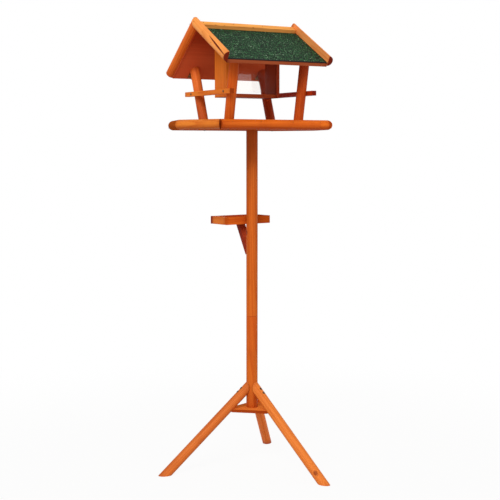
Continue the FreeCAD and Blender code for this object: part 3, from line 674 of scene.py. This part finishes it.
def nail_form(head, height, turns=20):
    """Low domed nail head, falling as the square of the radius, on a short stub of its shank."""
    share = np.linspace(0, 1, 6)
    radii = [*(head * share), *(head * STUB_RADII)]
    heights = [*(-height * share ** 2), *(-height * STUB_DEPTHS)]
    return ringed(radii, heights, turns)


def set_out(form, place, out):
    """A form moved so that its top is at a place and its axis points out of the surface there."""
    points, faces = form
    turn = np.array(Vector([float(x) for x in out]).to_track_quat("Z", "Y").to_matrix())
    return points @ turn.T + np.array(place), faces


def gather(name, forms, body, material):
    """One piece made of separate forms, which rides on a body."""
    points = np.vstack([form[0] for form in forms])
    starts = np.cumsum([0] + [len(form[0]) for form in forms])
    faces = [[corner + int(start) for corner in face]
             for form, start in zip(forms, starts) for face in form[1]]
    mesh = bpy.data.meshes.new(name)
    mesh.from_pydata(points.tolist(), [], faces)
    mesh.materials.append(material)
    mesh.polygons.foreach_set("use_smooth", [True] * len(faces))
    piece = bpy.data.objects.new(name, mesh)
    bpy.context.collection.objects.link(piece)
    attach(piece, body)
    return piece


def screws_of(node):
    """The screws of a node with real heads, each on the line, and of the sizes, of its plain solid."""
    forms = []
    for points in solids_of(node):
        middle = points.mean(axis=0)
        line = np.linalg.svd(points - middle, full_matrices=False)[2][0]
        along = (points - middle) @ line
        away = np.linalg.norm(points - middle - along[:, None] * line, axis=1)
        if (along * (away - away.mean())).sum() < 0:
            line = -line
            along = -along
        head = away.max()
        head_low = along[away > head * HEAD_WIDE].min()
        shank = away[along < along.min() + SHANK_LOW * np.ptp(along)].max()
        form = screw_form(head, along.max() - head_low, shank, np.ptp(along))
        forms.append(set_out(form, middle + line * along.max(), line))
    return forms


for name in [node for node in NODES if "screws" in node]:
    screws = gather(name + "_cross_headed", screws_of(name), "stand", SCREW)
    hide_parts(name)


# The screw down through the tray's board into the pole's end

POLE_SCREW = screw_form(head=0.0045, head_height=0.0008, shank=0.0022, length=0.045)
POLE_SCREW_RISE = 0.0004

low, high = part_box("pole")
pole_axis = (low + high) / 2
pole_screw_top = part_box("tray_board")[1].z + POLE_SCREW_RISE
pole_screw = set_out(POLE_SCREW, (pole_axis.x, pole_axis.y, pole_screw_top), (0, 0, 1))
gather("pole_screw", [pole_screw], "stand", SCREW)


# Small screws in the hinge leaves

HINGE_SCREW_RISE = 0.0004
HINGE_SCREW = screw_form(head=0.0022, head_height=0.0006, shank=0.0011, length=0.009, turns=28)
# Where the screws are, as shares of half the leaf's width and length
LEAF_ACROSS = 0.45
LEAF_ALONG = 0.55


def leaf_screws(side, leaf):
    """Two small screws through a hinge leaf, on the half of it that is away from the pin."""
    node = "hinge_leaf_%s_%s" % (leaf, side)
    middle, axes, half = lie_of(node)
    low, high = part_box("hinge_pin_" + side)
    pin = (np.array(low) + np.array(high)) / 2
    away = axes[1] * -np.sign((pin - middle) @ axes[1])
    points = skin_of(node)[0]
    beside = points[(points - middle) @ away > half[1] * 0.5]
    out = axes[0] * np.sign((pin - beside.mean(axis=0)) @ axes[0])
    top = ((beside - middle) @ out).max() + HINGE_SCREW_RISE
    row = middle + away * half[1] * LEAF_ACROSS + out * top
    step = axes[2] * half[2] * LEAF_ALONG
    return [set_out(HINGE_SCREW, place, out) for place in (row - step, row + step)]


for leaf, body in (("post", "stand"), ("roof", "roof")):
    forms = [form for side in ("left", "right") for form in leaf_screws(side, leaf)]
    gather("hinge_screws_" + leaf, forms, body, BRASS)


# Nails in the strips, battens, rims and walls

NAIL_RISE = 0.00025
NAIL_FORM = nail_form(head=0.0011, height=NAIL_RISE)


def nails_in(node, outwards, across, places):
    """Nails in a row along a piece, on the one of its two broad faces that looks outwards.

    places run from -1 at one end of the piece to 1 at the other, and across from side to side."""
    middle, axes, half = lie_of(node)
    out = axes[0] * (1 if axes[0] @ np.array(outwards) > 0 else -1)
    return [set_out(NAIL_FORM, middle + out * (half[0] + NAIL_RISE) + axes[1] * half[1] * across
                    + axes[2] * half[2] * place, out) for place in places]


roof_nails = []
for slope in ("front", "rear"):
    for side, outwards in (("left", (-1, 0, 0)), ("right", (1, 0, 0))):
        strip = "gable_strip_%s_%s" % (slope, side)
        roof_nails += nails_in(strip, outwards, across=0.1, places=(-0.8, -0.25, 0.3, 0.85))
for slope in ("front", "rear"):
    batten = "ridge_batten_" + slope
    roof_nails += nails_in(batten, (0, 0, 1), across=-0.1, places=(-0.9, -0.3, 0.3, 0.9))
gather("roof_nails", roof_nails, "roof", NAIL)

stand_nails = []
for place in ("front", "front_right", "rear_right", "rear", "rear_left", "front_left"):
    rim = "tray_rim_" + place
    outwards = lie_of(rim)[0] - lie_of("tray_board")[0]
    stand_nails += nails_in(rim, outwards, across=-0.55, places=(-0.82, -0.3, 0.3, 0.82))
for wall in ("bracket_long_near", "bracket_long_far"):
    outwards = lie_of(wall)[0] - lie_of("bracket_base")[0]
    for across in (-0.5, 0.5):
        stand_nails += nails_in(wall, outwards, across, places=(-0.94, 0.94))
gather("stand_nails", stand_nails, "stand", NAIL)


# Floor, light and camera

# Half the floor's width, and from where to where it runs out to plain white, in metres
FLOOR_HALF = 12.0
WHITE_FROM = 0.5
WHITE_TO = 1.6
# How white the floor is close to the table; the rest of it keeps the shadow
WHITE_NEAR = 0.93

# The photograph's lens and frame width in millimetres, its place from the pole's axis at the floor in
# metres, and how it is turned in degrees
LENS = 78.578
FRAME_WIDTH = 36.0
EYE_PLACE = (-1.4267, -2.4732, 0.8563)
EYE_DOWN = 5.484
EYE_TURN = -29.875


def plain_view(finish):
    """1 where the eye sees a thing directly, in a mirror or through glass; 0 for the light it gives."""
    rays = [finish.node("LightPath", {}, {}, name)
            for name in ("Is Camera Ray", "Is Glossy Ray", "Is Transmission Ray")]
    return rays[0].most(rays[1]).most(rays[2])


def floor():
    """A pale floor that keeps the table's shadow and runs out to white."""
    finish = Finish("pale_floor")
    x, y, _ = finish.parts(finish.here())
    far = ((x * x + y * y) ** 0.5).rise(WHITE_FROM, WHITE_TO)
    matt = finish.node("BsdfDiffuse", {}, {"Color": colour("e6e6e4")})
    white = finish.node("Emission", {}, {"Color": (1, 1, 1, 1), "Strength": 1.0})
    share = plain_view(finish) * (WHITE_NEAR + far * (1 - WHITE_NEAR))
    corners = [(right * FLOOR_HALF, back * FLOOR_HALF, 0)
               for right, back in ((-1, -1), (1, -1), (1, 1), (-1, 1))]
    mesh = bpy.data.meshes.new("floor")
    mesh.from_pydata(corners, [], [(0, 1, 2, 3)])
    mesh.materials.append(finish.out(finish.node("MixShader", {}, {0: share, 1: matt, 2: white})))
    piece = bpy.data.objects.new("floor", mesh)
    bpy.context.collection.objects.link(piece)


def sun(name, towards, strength, angle, tint):
    """Light from far away that shines towards a direction; a wider angle gives softer shadows."""
    lamp = bpy.data.lights.new(name, "SUN")
    lamp.energy = strength
    lamp.angle = math.radians(angle)
    lamp.color = tint
    holder = bpy.data.objects.new(name, lamp)
    bpy.context.collection.objects.link(holder)
    holder.rotation_euler = Vector(towards).to_track_quat("-Z", "Y").to_euler()


def world(strength):
    """Even white light from all round; the eye, mirrors and glass see plain white."""
    sky = bpy.data.worlds.new("studio")
    bpy.context.scene.world = sky
    finish = Finish(sky)
    light = strength + plain_view(finish) * (1.0 - strength)
    finish.out(finish.node("Background", {}, {"Color": (1, 1, 1, 1), "Strength": light}), "OutputWorld")


def camera():
    """Look at the table as the photograph does, from the left of its front."""
    lens = bpy.data.cameras.new("camera")
    lens.lens = LENS
    lens.sensor_width = FRAME_WIDTH
    eye = bpy.data.objects.new("camera", lens)
    bpy.context.collection.objects.link(eye)
    eye.location = (pole_axis.x + EYE_PLACE[0], pole_axis.y + EYE_PLACE[1], EYE_PLACE[2])
    eye.rotation_euler = (math.radians(90 - EYE_DOWN), 0, math.radians(EYE_TURN))
    bpy.context.scene.camera = eye


floor()
world(strength=0.5)
sun("key", towards=(0.62, 0.56, -0.55), strength=1.7, angle=30, tint=(1.0, 0.98, 0.95))
sun("fill", towards=(-0.5, 0.8, -0.25), strength=0.5, angle=60, tint=(1.0, 0.97, 0.94))
camera()
bpy.context.scene.view_settings.view_transform = "Standard"

low, high = CAD_BOX
